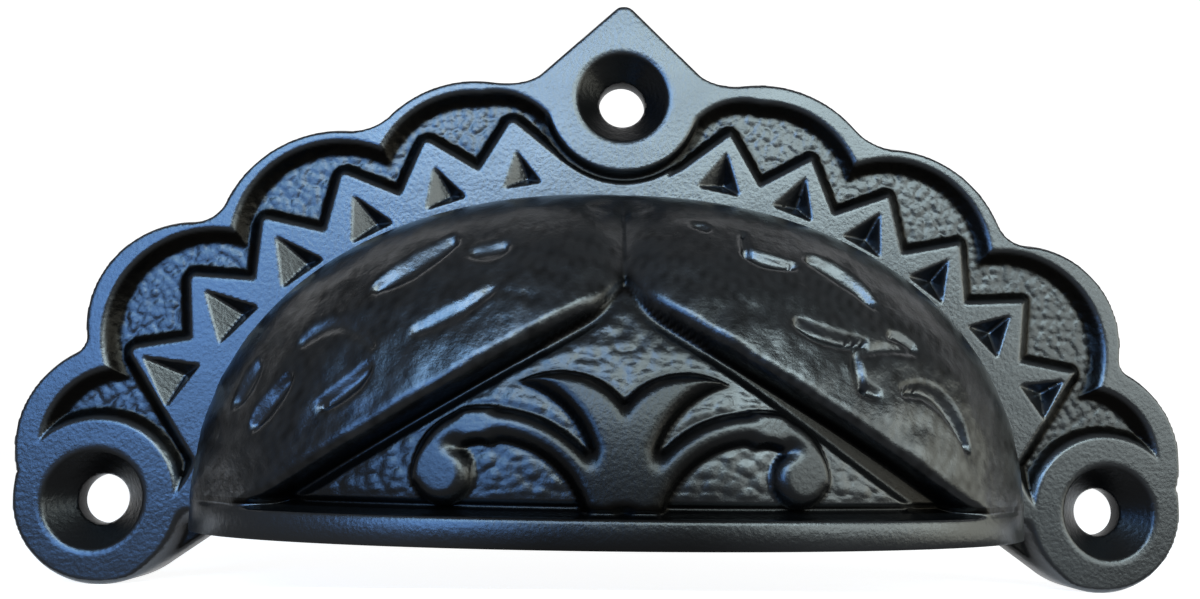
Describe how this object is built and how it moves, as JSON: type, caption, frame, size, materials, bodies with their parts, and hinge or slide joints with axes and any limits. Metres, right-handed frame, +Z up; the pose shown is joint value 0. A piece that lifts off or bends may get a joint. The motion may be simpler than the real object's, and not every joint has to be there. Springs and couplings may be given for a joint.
{
  "type": "cup pull",
  "caption": "Cast cup pull for a drawer front: scalloped plate with countersunk screw holes and a hollow hood, open below, carved with leaves, scrolls and a lip to pull on.",
  "frame": {"origin": "on the back face, midway between the axes of the two lower screw holes", "axes": "+X along the width, +Z up the drawer front, +Y into the drawer front, so the hood faces -Y"},
  "size_m": [0.101, 0.0205, 0.052],
  "materials": {
    "iron": "satin black"
  },
  "bodies": {
    "root": {"cup_pull": "iron"}
  },
  "joints": []
}
